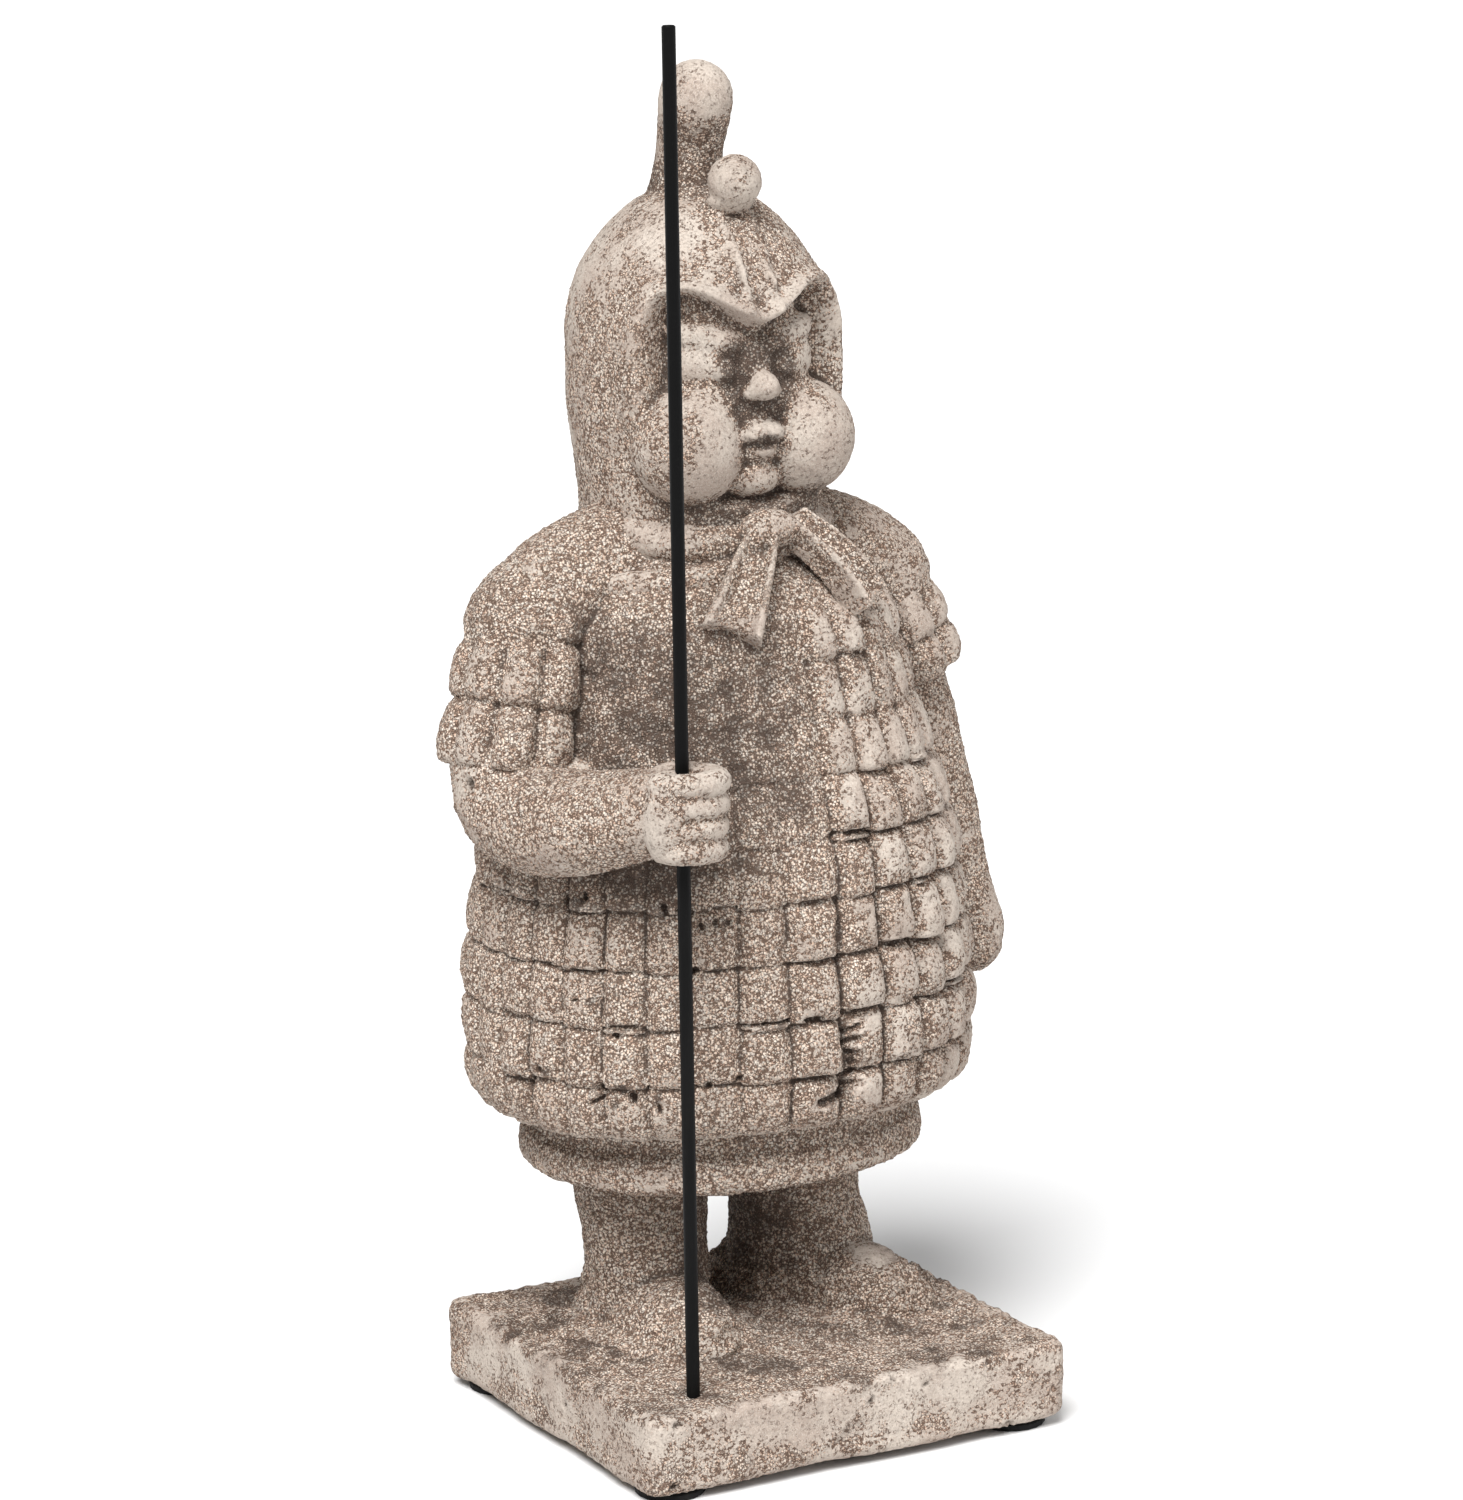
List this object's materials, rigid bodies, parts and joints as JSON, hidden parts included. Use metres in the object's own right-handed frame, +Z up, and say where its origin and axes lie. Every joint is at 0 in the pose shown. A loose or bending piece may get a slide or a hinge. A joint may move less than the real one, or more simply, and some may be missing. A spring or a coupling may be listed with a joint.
{
  "type": "cement soldier figurine",
  "caption": "Stout ancient-style soldier in plated coat and hood, cast in sandy cement with its square slab, holding a plain upright black steel rod, on rubber feet.",
  "frame": {"origin": "on the ground, under the middle of the object's bounding box", "axes": "+Z up; the figure faces -Y; +X is the figure's own left"},
  "size_m": [0.2141, 0.1702, 0.477],
  "materials": {
    "cement": "rough, gritty, weathered sand cement",
    "black_steel": "satin black paint",
    "rubber": "matte black rubber"
  },
  "bodies": {
    "root": {"soldier_figure": "cement", "spear_rod": "black_steel", "rubber_foot_front_right": "rubber", "rubber_foot_front_left": "rubber", "rubber_foot_back_right": "rubber", "rubber_foot_back_left": "rubber"}
  },
  "joints": []
}
